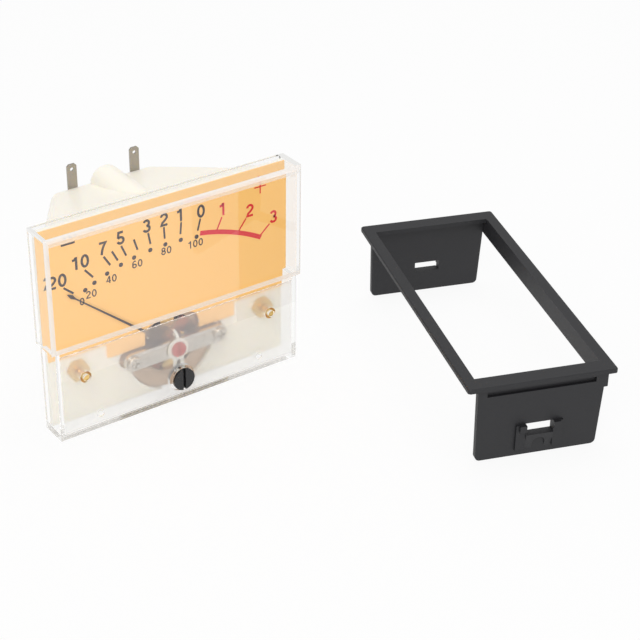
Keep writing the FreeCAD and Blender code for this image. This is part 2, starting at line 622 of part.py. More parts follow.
def movement_screw(side):
    """Long screw from the back of the box, through the rear bridge into the yoke."""
    x = side * EAR_OFFSET
    back = BOX_BACK + SCREW_HEAD
    head = rod(x, PIVOT_HEIGHT, SCREW_HEAD_RADIUS, BOX_BACK, back)
    shank = rod(x, PIVOT_HEIGHT, SCREW_RADIUS, YOKE_BACK - SCREW_GRIP, BOX_BACK)
    return fuse(head, shank).cut(cross_recess(x, PIVOT_HEIGHT, back - SLOT_DEPTH, SLOT_DEPTH))


def terminal_screw(side):
    """Cross-head screw that clamps a solder lug to the back of the housing."""
    x = side * LUG_OFFSET
    seat = FUNNEL_BACK + LUG_THICKNESS
    back = seat + SCREW_HEAD
    head = rod(x, LUG_SCREW_HEIGHT, SCREW_HEAD_RADIUS, seat, back)
    shank = rod(x, LUG_SCREW_HEIGHT, SCREW_RADIUS, FUNNEL_BACK - LUG_SCREW_LENGTH, seat)
    return fuse(head, shank).cut(cross_recess(x, LUG_SCREW_HEIGHT, back - SLOT_DEPTH, SLOT_DEPTH))


def jewel_screw(front, back, face, cup):
    """Brass bush with a slotted face and a seat for its jewel."""
    body = rod(0, PIVOT_HEIGHT, JEWEL_SCREW_RADIUS, front, back)
    slot_front = front if face == front else back - SLOT_DEPTH
    slot = box(-SLOT_WIDTH / 2, SLOT_WIDTH / 2, slot_front, slot_front + SLOT_DEPTH,
               PIVOT_HEIGHT - JEWEL_SCREW_RADIUS, PIVOT_HEIGHT + JEWEL_SCREW_RADIUS)
    seat = rod(0, PIVOT_HEIGHT, JEWEL_RADIUS, min(cup), max(cup))
    return body.cut([slot, seat])


def jewel(mouth, bottom, cup_bottom):
    """Ruby cup in which the point of a staff turns."""
    body = rod(0, PIVOT_HEIGHT, JEWEL_RADIUS, min(mouth, bottom), max(mouth, bottom))
    return body.cut(rod(0, PIVOT_HEIGHT, STAFF_RADIUS + FIT, min(mouth, cup_bottom), max(mouth, cup_bottom)))


def pointer_stop(side):
    """Wire post on the yoke that ends the pointer's travel."""
    angle = math.radians(STOP_ANGLE)
    x = side * STOP_RADIUS_FROM_PIVOT * math.sin(angle)
    z = PIVOT_HEIGHT + STOP_RADIUS_FROM_PIVOT * math.cos(angle)
    return rod(x, z, STOP_PIN_RADIUS, POINTER_FRONT - POINTER_THICKNESS, YOKE_FRONT)


def zero_lever():
    """Forked lever round the front jewel screw that carries the outer end of the spring."""
    y0, y1 = LEVER_FRONT, LEVER_BACK
    ring = rod(0, PIVOT_HEIGHT, LEVER_RING_RADIUS, y0, y1)
    fork_end = ADJUSTER_HEIGHT + ADJUSTER_PIN_OFFSET - ADJUSTER_PIN_RADIUS
    arm = box(-FORK_ARM_HALF_WIDTH, FORK_ARM_HALF_WIDTH, y0, y1, fork_end, PIVOT_HEIGHT)
    half = LEVER_TAIL_WIDTH / 2
    top = PIVOT_HEIGHT + LEVER_TAIL_LIFT
    tail = lever_tail(half, top, y0, y1)
    finger_low = PIVOT_HEIGHT + SPRING_OUTER_RADIUS
    finger = box(-half, half, y1, POINTER_FRONT - POINTER_THICKNESS, finger_low, finger_low + LEVER_THICKNESS)
    slot_top = PIVOT_HEIGHT - FORK_ROOT_LENGTH
    slot = box(-FORK_SLOT_HALF_WIDTH, FORK_SLOT_HALF_WIDTH, y0, y1, fork_end, slot_top)
    slot_end = rod(0, slot_top, FORK_SLOT_HALF_WIDTH, y0, y1)
    bore = rod(0, PIVOT_HEIGHT, JEWEL_SCREW_RADIUS + RUNNING_FIT, y0, y1)
    return fuse(ring, arm, tail, finger).cut([slot, slot_end, bore])


def lever_tail(half, top, y0, y1):
    """Upward arm of the lever, curved to one side."""
    bend = FreeCAD.Vector(half, y0, PIVOT_HEIGHT + LEVER_TAIL_LIFT / 2)
    right = Part.Arc(FreeCAD.Vector(half, y0, PIVOT_HEIGHT + LEVER_RING_RADIUS / 2), bend,
                     FreeCAD.Vector(half + LEVER_TAIL_SWING, y0, top)).toShape()
    left = right.copy()
    left.translate(FreeCAD.Vector(-2 * half, 0, 0))
    foot = Part.makeLine(right.Vertexes[0].Point, left.Vertexes[0].Point)
    crown = Part.makeLine(right.Vertexes[1].Point, left.Vertexes[1].Point)
    wire = Part.Wire(Part.__sortEdges__([right, crown, left, foot]))
    return Part.Face(wire).extrude(FreeCAD.Vector(0, y1 - y0, 0))


def zero_adjuster():
    """Slotted black disc in the cover, with an eccentric pin for the fork."""
    front = LOWER_FRONT - ADJUSTER_PROUD
    seat = LOWER_FRONT + ADJUSTER_SEAT
    stem_end = PANEL_BACK + ADJUSTER_BOSS_LENGTH
    head = rod(0, ADJUSTER_HEIGHT, ADJUSTER_RADIUS, front, seat)
    stem = rod(0, ADJUSTER_HEIGHT, ADJUSTER_STEM_RADIUS, seat, stem_end)
    pin = rod(0, ADJUSTER_HEIGHT + ADJUSTER_PIN_OFFSET, ADJUSTER_PIN_RADIUS, stem_end, stem_end + ADJUSTER_PIN_LENGTH)
    slot = box(-ADJUSTER_SLOT / 2, ADJUSTER_SLOT / 2, front, front + ADJUSTER_SLOT_DEPTH,
               ADJUSTER_HEIGHT - ADJUSTER_RADIUS, ADJUSTER_HEIGHT + ADJUSTER_RADIUS)
    return fuse(head, stem, pin).cut(slot)


def rear_spring_anchor():
    """Clip on the rear jewel screw that holds the outer end of the rear spring."""
    y0, y1 = REAR_BRIDGE_FRONT - LEVER_THICKNESS, REAR_BRIDGE_FRONT
    half = LEVER_TAIL_WIDTH / 2
    low = PIVOT_HEIGHT + SPRING_OUTER_RADIUS
    high = low + LEVER_THICKNESS
    ring = rod(0, PIVOT_HEIGHT, LEVER_RING_RADIUS, y0, y1)
    arm = box(-half, half, y0, y1, PIVOT_HEIGHT, high)
    finger = box(-half, half, rear_spring_front(), y0, low, high)
    return fuse(ring, arm, finger).cut(rod(0, PIVOT_HEIGHT, JEWEL_SCREW_RADIUS + FIT, y0, y1))


def rear_spring_front():
    """Front face of the rear hairspring."""
    return FORMER_INNER_BACK + FORMER_WALL + WINDING_THICKNESS + SPRING_WIDTH


def front_spring_front():
    """Front face of the front hairspring."""
    return POINTER_FRONT - SPRING_WIDTH - SPRING_CLEARANCE


def terminal_lug(side):
    """Solder lug: a round foot, an upright strip and an eye at the top."""
    x = side * LUG_OFFSET
    y0, y1 = FUNNEL_BACK, FUNNEL_BACK + LUG_THICKNESS
    foot = rod(x, LUG_SCREW_HEIGHT, LUG_PAD_RADIUS, y0, y1)
    strip = box(x - LUG_WIDTH / 2, x + LUG_WIDTH / 2, y0, y1, LUG_SCREW_HEIGHT, LUG_TOP)
    corners = [e for e in strip.Edges
               if abs(e.BoundBox.ZMin - LUG_TOP) < FIT and e.BoundBox.XLength < FIT]
    strip = strip.makeChamfer(LUG_CORNER, corners)
    holes = [rod(x, LUG_SCREW_HEIGHT, SCREW_BORE, y0, y1), rod(x, LUG_TOP - LUG_EYE_DROP, LUG_EYE_RADIUS, y0, y1)]
    return fuse(foot, strip).cut(holes)


def lamp_holder():
    """Plug that fills the rear end of the lamp boss."""
    back = FUNNEL_BACK
    return rod(0, FUNNEL_REAR_TOP, LAMP_BORE - FIT, back - LAMP_HOLDER_LENGTH, back)


def lamp():
    """Small glass lamp with a round end."""
    foot = FUNNEL_BACK - LAMP_HOLDER_LENGTH
    neck = foot - LAMP_LENGTH + LAMP_RADIUS
    bulb = rod(0, FUNNEL_REAR_TOP, LAMP_RADIUS, neck, foot)
    dome = Part.makeSphere(LAMP_RADIUS, FreeCAD.Vector(0, neck, FUNNEL_REAR_TOP))
    return fuse(bulb, dome)


def lamp_pin(side):
    """Connecting pin of the lamp."""
    return rod(side * LAMP_PIN_OFFSET, FUNNEL_REAR_TOP, LAMP_PIN_RADIUS, FUNNEL_BACK, FUNNEL_BACK + LAMP_PIN_LENGTH)


def leg_plate(corners, x0, x1):
    """A plate across X, cut to an outline in Y and Z."""
    points = [FreeCAD.Vector(x0, y, z) for y, z in corners]
    outline = Part.makePolygon(points + points[:1])
    return Part.Face(outline).extrude(FreeCAD.Vector(x1 - x0, 0, 0))


def leg_ribs(outer, top):
    """Two ribs beside the latch window, each with a hook at its upper end."""
    half = LATCH_WIDTH / 2
    bars = []
    for side in SIDES:
        rib = sorted([side * half, side * (half + RIB_WIDTH)])
        hook = sorted([side * half, side * (half + HOOK_WIDTH)])
        bars.append(box(outer, outer + RIB_PROUD, *rib, RIB_BOTTOM, top))
        bars.append(box(outer, outer + HOOK_PROUD, *hook, top - HOOK_HEIGHT, top))
    return bars


def leg_ramp(outer):
    """Sloping lead-in below the latch window, with a round-topped notch."""
    half = LATCH_WIDTH / 2
    points = [FreeCAD.Vector(outer, -half, RIB_BOTTOM), FreeCAD.Vector(outer, -half, LATCH_BOTTOM),
              FreeCAD.Vector(outer + RAMP_PROUD, -half, LATCH_BOTTOM)]
    outline = Part.makePolygon(points + points[:1])
    slope = Part.Face(outline).extrude(FreeCAD.Vector(0, 2 * half, 0))
    notch = box(outer, outer + RAMP_PROUD, -RAMP_NOTCH_RADIUS, RAMP_NOTCH_RADIUS, 0, RAMP_NOTCH_HEIGHT)
    arch = Part.makeCylinder(RAMP_NOTCH_RADIUS, RAMP_PROUD, FreeCAD.Vector(outer, 0, RAMP_NOTCH_HEIGHT),
                             FreeCAD.Vector(1, 0, 0))
    return slope.cut([notch, arch])


def bezel_leg(side, reach, half):
    """End leg: tapered wall with a grooved top, a latch window, ribs and a ramp."""
    inner = reach + BEZEL_LEG_OFFSET
    outer = inner + BEZEL_LEG_WALL
    top = BEZEL_HEIGHT - BEZEL_FLANGE
    corners = [(-half, top), (half, top), (half - BEZEL_LEG_TAPER, 0), (BEZEL_LEG_OPEN_TAPER - half, 0)]
    wall = leg_plate(corners, inner, outer)
    soft = [e for e in wall.Edges if e.BoundBox.ZMax < FIT and e.BoundBox.YLength < FIT]
    wall = wall.makeFillet(BEZEL_LEG_CORNER, soft)
    window_half = LATCH_WIDTH / 2
    latch_top = LATCH_BOTTOM + LATCH_HEIGHT
    groove_half = half - GROOVE_MARGIN
    groove_top = top - GROOVE_DROP
    window = box(inner, outer, -window_half, window_half, LATCH_BOTTOM, latch_top)
    groove = box(outer - GROOVE_DEPTH, outer, -groove_half, groove_half, groove_top - GROOVE_HEIGHT, groove_top)
    leg = fuse(wall.cut([window, groove]), leg_ramp(outer), *leg_ribs(outer, latch_top))
    if side < 0:
        leg = leg.mirror(FreeCAD.Vector(0, 0, 0), FreeCAD.Vector(1, 0, 0))
    return leg


def bezel():
    """Black panel frame for the window, with a skirt along one side and a leg at each end."""
    half_length = COVER_WIDTH / 2 + BEZEL_END_CLEARANCE
    half_width = (COVER_HEIGHT - WINDOW_BOTTOM) / 2 + BEZEL_SIDE_CLEARANCE
    x_out = half_length + BEZEL_FLANGE_END
    y_out = half_width + BEZEL_FLANGE_SIDE
    flange_bottom = BEZEL_HEIGHT - BEZEL_FLANGE
    flange = box(-x_out, x_out, -y_out, y_out, flange_bottom, BEZEL_HEIGHT)
    uprights = [e for e in flange.Edges if e.BoundBox.ZLength > FIT]
    flange = flange.makeFillet(BEZEL_CORNER, uprights)
    rim = [e for e in flange.Edges if near_plane(e, "Z", BEZEL_HEIGHT)]
    flange = flange.makeChamfer(BEZEL_FLANGE / 5, rim)
    skirt_end = half_length + BEZEL_LEG_OFFSET + BEZEL_LEG_WALL
    skirt = box(-skirt_end, skirt_end, half_width, half_width + BEZEL_SKIRT_WALL,
                BEZEL_HEIGHT - BEZEL_SKIRT, flange_bottom)
    leg_half = y_out - BEZEL_LEG_INSET
    legs = [bezel_leg(s, half_length, leg_half) for s in SIDES]
    window = box(-half_length, half_length, -half_width, half_width, flange_bottom, BEZEL_HEIGHT)
    frame = fuse(flange.cut(window), skirt, *legs)
    frame.rotate(FreeCAD.Vector(0, 0, 0), Z_AXIS, BEZEL_TURN)
    frame.translate(FreeCAD.Vector(BEZEL_X, BEZEL_Y, 0))
    return frame


def build():
    """Every named piece of the meter."""
    front_cup = (JEWEL_SCREW_BACK - JEWEL_DEPTH, JEWEL_SCREW_BACK)
    rear_cup = (REAR_JEWEL_FRONT, REAR_JEWEL_FRONT + JEWEL_DEPTH)
    rear_screw_back = REAR_BRIDGE_BACK + JEWEL_SCREW_STANDOFF
    return {
        "front_cover": front_cover(),
        "dial_plate": dial_plate(),
        "rear_housing": rear_housing(),
        "cover_screws": Part.makeCompound(both(cover_screw)),
        "hex_spacers": Part.makeCompound(both(hex_spacer)),
        "movement_yoke": movement_yoke(),
        "core_magnet": core_magnet(),
        "front_core_support": core_support(FRONT_SUPPORT),
        "rear_core_support": core_support(CORE_BACK),
        "coil_former": coil_former(),
        "coil_winding": coil_winding(),
        "front_staff": front_staff(),
        "rear_staff": rear_staff(),
        "pointer_collet": pointer_collet(),
        "rear_collet": rear_collet(),
        "pointer": pointer(),
        "balance_weights": balance_weights(),
        "front_hairspring": hairspring(front_spring_front()),
        "rear_hairspring": hairspring(rear_spring_front()),
        "front_bridge": bridge(BRIDGE_FRONT, BRIDGE_BACK, -1),
        "rear_bridge": bridge(REAR_BRIDGE_FRONT, REAR_BRIDGE_BACK, 1),
        "front_spacers": spacers(BRIDGE_BACK, YOKE_FRONT),
        "rear_spacers": spacers(YOKE_BACK, REAR_BRIDGE_FRONT),
        "bridge_screws": Part.makeCompound(both(bridge_screw)),
        "movement_screws": Part.makeCompound(both(movement_screw)),
        "front_jewel_screw": jewel_screw(JEWEL_SCREW_FRONT, JEWEL_SCREW_BACK, JEWEL_SCREW_FRONT, front_cup),
        "rear_jewel_screw": jewel_screw(REAR_JEWEL_FRONT, rear_screw_back, rear_screw_back, rear_cup),
        "front_jewel": jewel(JEWEL_SCREW_BACK, front_cup[0], JEWEL_SCREW_BACK - JEWEL_CUP_DEPTH),
        "rear_jewel": jewel(REAR_JEWEL_FRONT, rear_cup[1], REAR_JEWEL_FRONT + JEWEL_CUP_DEPTH),
        "pointer_stops": Part.makeCompound(both(pointer_stop)),
        "zero_lever": zero_lever(),
        "zero_adjuster": zero_adjuster(),
        "rear_spring_anchor": rear_spring_anchor(),
        "left_terminal_lug": terminal_lug(-1),
        "right_terminal_lug": terminal_lug(1),
        "terminal_screws": Part.makeCompound(both(terminal_screw)),
        "lamp_holder": lamp_holder(),
        "lamp": lamp(),
        "lamp_pins": Part.makeCompound(both(lamp_pin)),
        "bezel": bezel(),
    }


os.makedirs("parts", exist_ok=True)
for name, shape in build().items():
    shape.exportStep("parts/" + name + ".step")
    print(name, "valid", shape.isValid(), "solids", len(shape.Solids), "volume", round(shape.Volume, 2))
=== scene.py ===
import json
import math

import bmesh
import bpy
from mathutils import Matrix, Vector


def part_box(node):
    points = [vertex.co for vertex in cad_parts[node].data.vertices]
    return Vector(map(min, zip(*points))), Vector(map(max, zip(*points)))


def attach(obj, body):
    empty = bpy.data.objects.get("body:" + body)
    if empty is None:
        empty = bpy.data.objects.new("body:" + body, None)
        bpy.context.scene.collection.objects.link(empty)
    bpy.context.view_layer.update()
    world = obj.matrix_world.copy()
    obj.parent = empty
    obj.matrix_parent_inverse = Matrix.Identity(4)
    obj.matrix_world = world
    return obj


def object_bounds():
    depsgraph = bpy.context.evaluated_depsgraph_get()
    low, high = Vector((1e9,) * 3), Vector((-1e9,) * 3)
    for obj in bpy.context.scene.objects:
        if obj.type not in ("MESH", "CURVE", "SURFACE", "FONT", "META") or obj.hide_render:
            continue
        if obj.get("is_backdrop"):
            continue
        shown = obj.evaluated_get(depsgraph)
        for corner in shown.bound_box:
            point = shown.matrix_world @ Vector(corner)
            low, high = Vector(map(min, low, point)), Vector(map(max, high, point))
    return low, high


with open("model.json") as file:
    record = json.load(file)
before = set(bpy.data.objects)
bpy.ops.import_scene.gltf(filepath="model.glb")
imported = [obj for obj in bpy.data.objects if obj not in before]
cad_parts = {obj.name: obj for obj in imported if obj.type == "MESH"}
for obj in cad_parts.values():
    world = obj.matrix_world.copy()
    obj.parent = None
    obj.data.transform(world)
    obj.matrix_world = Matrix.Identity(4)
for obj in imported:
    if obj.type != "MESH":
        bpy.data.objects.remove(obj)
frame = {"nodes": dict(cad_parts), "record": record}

bl_info = {
    "name": "Level meter",
    "version": (1, 0, 0),
    "blender": (4, 5, 0),
    "location": "View3D > Sidebar > Meter",
    "description": "Builds the looks of a moving-coil level meter on its packed model",
    "category": "Object",
}

MM = 0.001
WHITE = (1.0, 1.0, 1.0)
PIVOT_HEIGHT = 17.0

# In metres: the distance within which the print's corners are joined, and the depth of the fine grain
JOIN_DISTANCE = 1e-7
GRAIN_DEPTH = 0.00005

# Clear pieces: a path with more reflections or passages than these ends in the pale fill, a painted glow
# that stands in for the light such a path would bring
MOST_REFLECTIONS = 2.5
MOST_PASSAGES = 8.5
PAINTED_FILL_GLOW = (0.86, 0.855, 0.84)
ACRYLIC_INDEX = 1.49
ACRYLIC_TINT = (0.99, 0.99, 0.985)
LAMP_INDEX = 1.5
LAMP_TINT = (1.0, 0.98, 0.94)

# Haze on the clear cover, real frosting on the lower panel and painted white highlight on the window's
# bevel, the walls' edges and the cover's foot: its colours for light from behind and from before, and the
# share of the second
HAZE_AND_HIGHLIGHT_BEHIND = (0.97, 0.965, 0.96)
HAZE_AND_HIGHLIGHT_BEFORE = (0.98, 0.97, 0.96)
HAZE_AND_HIGHLIGHT_SHARE = 0.7

# The lower panel's frosted inner face, in mm, and how rough it is
FROST_HALF_WIDTH = 42.1
FROST_BOTTOM = 1.6
FROST_FACE = (-3.02, -2.98)
FROST_ROUGHNESS = 0.12

# Painted white highlight on the foot of the cover, in mm, where shade and the housing behind would show
# through: a thin line round it above the bottom wall, and that wall's rear end
FOOT_LINE_HEIGHTS = (1.7, 1.9)
FOOT_END_HEIGHTS = (-0.1, 1.9)
FOOT_END_DEPTHS = (4.9, 5.6)
# Strength of the painted white highlight on the lower wall strip and the foot, and on the top strip
WALL_EDGE_HIGHLIGHT = 0.8
TOP_STRIP_HIGHLIGHT = 0.5

# How far the painted highlight zones reach past the cover's corners and through its front face, in mm
ZONE_MARGIN = 0.1
ZONE_SKIN = 0.05

# Radius of each node's softened edges, in mm, besides the bezel's and the housing's
EDGE_RADII = {
    "zero_adjuster": 0.15,
    "front_bridge": 0.15,
    "rear_bridge": 0.15,
    "left_terminal_lug": 0.08,
    "right_terminal_lug": 0.08,
    "zero_lever": 0.08,
    "cover_screws": 0.1,
    "hex_spacers": 0.15,
    "front_cover": 0.12,
    "front_jewel_screw": 0.1,
    "movement_yoke": 0.2,
}

# Edges that turn by more than this angle, in degrees, are softened
EDGE_ANGLE = 40
EDGE_SEGMENTS = 2

# Middle, width and height of the bars that make the minus sign and the plus sign, in mm
MINUS_BAR = (-34.3, 63.3, 4.6, 0.7)
PLUS_BARS = ((33.4, 63.2, 4.4, 0.45), (33.4, 64.53, 0.45, 2.2), (33.4, 61.87, 0.45, 2.2))

# Red marks: width as a share of a dark mark's, and how much nearer the scale's centre they begin, in mm
RED_TICK_SHARE = 0.8
RED_TICK_REACH = 0.3

# How finely the red band and the percent dots are drawn
BAND_STEPS = 32
DOT_CORNERS = 24

# Angle of each main tick from upright, in degrees, and its label with the label's place in mm
MAIN_TICKS = {
    "20": (-48.7, -38.6, 52.0),
    "10": (-39.15, -30.8, 56.1),
    "7": (-30.6, -23.0, 58.4),
    "6": (-26.8, None, None),
    "5": (-22.5, -16.8, 60.1),
    "4": (-16.65, None, None),
    "3": (-9.9, -7.7, 61.4),
    "2": (-2.4, -1.6, 61.75),
    "1": (5.95, 3.9, 61.7),
    "0": (15.2, 11.55, 60.9),
}
RED_TICKS = {
    "1": (25.7, 19.2, 59.3),
    "2": (37.4, 29.5, 56.0),
    "3": (48.95, 38.4, 51.3),
}
PERCENT_DOTS = (-45.3, -40.6, -34.0, -26.7, -19.6, -10.7, -2.3, 6.4, 15.3)
PERCENT_LABELS = {
    "0": (-30.9, 42.8),
    "20": (-27.65, 44.4),
    "40": (-20.6, 47.35),
    "60": (-11.5, 49.7),
    "80": (-1.2, 51.1),
    "100": (9.2, 50.4),
}

# Floor and room: lengths in metres, and shares of full white
FLOOR_CORNERS = ((-3, -3), (3, -3), (3, 3), (-3, 3))
FLOOR_HEIGHT = -0.0001
FLOOR_GREY = (0.85, 0.85, 0.85)
FLOOR_WHITENESS = 0.9
ROOM_LEVEL = 0.62
LIGHT_SIZE = 0.5

# Cards that only reflections see, in metres: both stand at one depth and meet at the split
CARD_DEPTH = -0.026
CARD_HEIGHTS = (0.006, 0.062)
CARD_SIDES = (-0.07, 0.09)
CARD_SPLIT = 0.0342
BRIGHT_CARD = (1.4, 1.4, 1.65)
GREY_CARD = (0.25, 0.25, 0.25)

# Camera: place and nearest distance in metres, angles in degrees, lens and sensor in mm
CAMERA_PLACE = (-0.2365, -0.3997, 0.3011)
CAMERA_PITCH = 30.63
CAMERA_YAW = 36.24
CAMERA_ROLL = -0.88
CAMERA_LENS = 96.8
CAMERA_SENSOR = 36.0
CAMERA_NEAR = 0.01


def linear(red, green, blue):
    """A display colour from 0 to 255 as linear values."""
    def one(value):
        value = value / 255
        return value / 12.92 if value <= 0.04045 else ((value + 0.055) / 1.055) ** 2.4
    return (one(red), one(green), one(blue))


def length(name, description, value):
    """A length in millimetres."""
    return bpy.props.FloatProperty(name=name, description=description + ", in mm", default=value,
                                   min=-100, max=100)


def share(name, description, value):
    """A share of one."""
    return bpy.props.FloatProperty(name=name, description=description, default=value,
                                   min=0, max=1, subtype="FACTOR")


def colour_property(name, rgb):
    """A finish's own colour, from its display values."""
    return bpy.props.FloatVectorProperty(name=name, description="Colour of the " + name.lower(),
                                         subtype="COLOR", size=3, min=0, max=1, default=linear(*rgb))


class MeterSizes(bpy.types.PropertyGroup):
    """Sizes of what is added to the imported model."""
    tick_width: length("Tick width", "Width of a main scale mark", 0.68)
    tick_inner: length("Tick inner radius", "Where the main marks begin, from the scale's centre", 68.1)
    tick_outer: length("Tick outer radius", "Where the main marks end, from the scale's centre", 72.1)
    arc_centre: length("Scale arc centre", "Height of the scale's centre over the meter's foot", -12.8)
    dot_radius: length("Dot radius", "Radius of a percent dot", 0.75)
    dot_arc: length("Dot arc radius", "Distance of the dots from the scale's centre", 66.1)
    band_inner: length("Red band inner radius", "Lower edge of the red band, from the scale's centre", 66.3)
    band_outer: length("Red band outer radius", "Upper edge of the red band, from the scale's centre", 67.9)
    band_start: length("Red band start", "Place of the red band's left end", 10.9)
    band_end: length("Red band end", "Place of the red band's right end", 33.2)
    digit_height: length("Large digits", "Height of the level figures", 4.3)
    small_digit_height: length("Small digits", "Height of the percent figures", 2.55)
    digit_weight: share("Large digit weight", "Stroke of the level figures, over their height", 0.19)
    small_digit_weight: share("Small digit weight", "Stroke of the percent figures, over their height",
                              0.165)
    digit_pitch: share("Digit pitch", "Distance between a number's digits, over their height", 0.78)
    digit_spread: bpy.props.FloatProperty(name="Digit spread", description="Widening of the digits",
                                          default=1.2, min=0.5, max=2, subtype="FACTOR")
    print_gap: length("Print above dial", "Distance of the print from the dial plate", 0.015)
    edge: length("Softened edges", "Radius of the bezel's and the housing's outer edges", 0.3)
    frost_top: length("Top of the frosting", "Height that the frosted lower panel reaches", 29.2)
    frost_haze: share("Frost haze", "How white the frosted lower panel is", 0.3)
    # Where the painted white highlights sit on the clear cover (the window's bevel, the wall strips seen
    # through the window and the window's lower edge), and how strong the bevel's painted highlight is
    bevel: length("Window bevel", "Width of the bevel round the window", 1.1)
    strip: length("Wall strip", "Height of the wall's edge as seen through the window", 1.2)
    ledge: length("Window bottom", "Height of the window's lower edge", 31.0)
    rim_highlight: share("Rim haze", "How white the window's bevel is", 0.8)


class MeterColours(bpy.types.PropertyGroup):
    """Colours of the finishes."""
    amber: colour_property("Dial amber", (255, 197, 108))
    ink: colour_property("Dial ink", (58, 42, 26))
    red_ink: colour_property("Dial red", (232, 16, 22))
    ivory: colour_property("Housing ivory", (249, 242, 229))
    cream: colour_property("Lever cream", (240, 235, 222))
    black: colour_property("Bezel black", (34, 34, 37))
    gloss_black: colour_property("Adjuster black", (22, 22, 24))
    brass: colour_property("Brass", (226, 190, 120))
    bronze: colour_property("Spring bronze", (205, 160, 100))
    nickel: colour_property("Nickel", (205, 200, 192))
    tin: colour_property("Tinned lug", (172, 166, 157))
    iron: colour_property("Yoke", (196, 168, 142))
    magnet: colour_property("Magnet", (88, 84, 84))
    copper: colour_property("Copper wire", (176, 92, 60))
    aluminium: colour_property("Aluminium", (205, 205, 208))
    steel: colour_property("Steel", (176, 180, 182))
    red_metal: colour_property("Red lacquer", (190, 40, 36))
    ruby: colour_property("Ruby", (150, 16, 40))
    white: colour_property("Lamp holder", (236, 234, 226))


def colours():
    """The colours set in the panel."""
    return bpy.context.scene.meter_colours


def sizes():
    """The sizes set in the panel."""
    return bpy.context.scene.meter_sizes


def grain_group():
    """Shared surface detail: object coordinates in, a bump normal and a roughness change out."""
    name = "meter_grain"
    if name in bpy.data.node_groups:
        return bpy.data.node_groups[name]
    group = bpy.data.node_groups.new(name, "ShaderNodeTree")
    group.interface.new_socket("Scale", in_out="INPUT", socket_type="NodeSocketFloat")
    group.interface.new_socket("Strength", in_out="INPUT", socket_type="NodeSocketFloat")
    group.interface.new_socket("Roughness", in_out="INPUT", socket_type="NodeSocketFloat")
    group.interface.new_socket("Normal", in_out="OUTPUT", socket_type="NodeSocketVector")
    group.interface.new_socket("Roughness", in_out="OUTPUT", socket_type="NodeSocketFloat")
    nodes, links = group.nodes, group.links
    entry = nodes.new("NodeGroupInput")
    leave = nodes.new("NodeGroupOutput")
    where = nodes.new("ShaderNodeTexCoord")
    noise = nodes.new("ShaderNodeTexNoise")
    noise.inputs["Detail"].default_value = 3.0
    bump = nodes.new("ShaderNodeBump")
    bump.inputs["Distance"].default_value = GRAIN_DEPTH
    spread = nodes.new("ShaderNodeMapRange")
    spread.inputs["To Min"].default_value = -0.05
    spread.inputs["To Max"].default_value = 0.05
    total = nodes.new("ShaderNodeMath")
    total.use_clamp = True
    links.new(where.outputs["Object"], noise.inputs["Vector"])
    links.new(entry.outputs["Scale"], noise.inputs["Scale"])
    links.new(entry.outputs["Strength"], bump.inputs["Strength"])
    links.new(noise.outputs["Fac"], bump.inputs["Height"])
    links.new(noise.outputs["Fac"], spread.inputs["Value"])
    links.new(spread.outputs["Result"], total.inputs[0])
    links.new(entry.outputs["Roughness"], total.inputs[1])
    links.new(bump.outputs["Normal"], leave.inputs["Normal"])
    links.new(total.outputs["Value"], leave.inputs["Roughness"])
    return group


def new_material(name):
    """An empty node material, its tree and its output."""
    material = bpy.data.materials.new(name)
    material.use_nodes = True
    material.node_tree.nodes.clear()
    output = material.node_tree.nodes.new("ShaderNodeOutputMaterial")
    return material, material.node_tree, output


def surface(name, rgb, roughness, metallic=0.0, scale=900.0, strength=0.08, coat=0.0, glow=0.0, soft=0.0):
    """A plain finish with fine grain, and a painted glow of its own colour where glow is given."""
    material, tree, output = new_material(name)
    shader = tree.nodes.new("ShaderNodeBsdfPrincipled")
    shader.inputs["Base Color"].default_value = (*rgb, 1)
    shader.inputs["Metallic"].default_value = metallic
    shader.inputs["Coat Weight"].default_value = coat
    shader.inputs["Coat Roughness"].default_value = 0.1
    if glow:
        shader.inputs["Emission Color"].default_value = (*rgb, 1)
        shader.inputs["Emission Strength"].default_value = glow
    if soft:
        shader.inputs["Subsurface Weight"].default_value = soft
        shader.inputs["Subsurface Radius"].default_value = (1.0, 0.8, 0.5)
        shader.inputs["Subsurface Scale"].default_value = 0.002
    grain = tree.nodes.new("ShaderNodeGroup")
    grain.node_tree = grain_group()
    grain.inputs["Scale"].default_value = scale
    grain.inputs["Strength"].default_value = strength
    grain.inputs["Roughness"].default_value = roughness
    tree.links.new(grain.outputs["Normal"], shader.inputs["Normal"])
    tree.links.new(grain.outputs["Roughness"], shader.inputs["Roughness"])
    tree.links.new(shader.outputs["BSDF"], output.inputs["Surface"])
    return material


def feed(tree, value, socket):
    """Sets a socket to a number, or links another node's output to it."""
    if isinstance(value, float):
        socket.default_value = value
    else:
        tree.links.new(value, socket)


def maths(tree, operation, *values):
    """Values or numbers taken together, from the first on, by one operation."""
    result = values[0]
    for value in values[1:]:
        node = tree.nodes.new("ShaderNodeMath")
        node.operation = operation
        feed(tree, result, node.inputs[0])
        feed(tree, value, node.inputs[1])
        result = node.outputs[0]
    return result


def times(tree, *values):
    """The product of several values or numbers."""
    return maths(tree, "MULTIPLY", *values)


def greatest(tree, *values):
    """The greatest of several values."""
    return maths(tree, "MAXIMUM", *values)


def between(tree, value, low, high):
    """One where the value lies between two limits, else zero."""
    return times(tree, maths(tree, "GREATER_THAN", value, low), maths(tree, "LESS_THAN", value, high))


def plain(tree, kind, rgb):
    """A shader of one colour."""
    node = tree.nodes.new(kind)
    node.inputs["Color"].default_value = (*rgb, 1)
    return node.outputs[0]


def mixed(tree, amount, first, second):
    """Two shaders, with more of the second where the amount is greater."""
    node = tree.nodes.new("ShaderNodeMixShader")
    feed(tree, amount, node.inputs["Fac"])
    tree.links.new(first, node.inputs[1])
    tree.links.new(second, node.inputs[2])
    return node.outputs["Shader"]


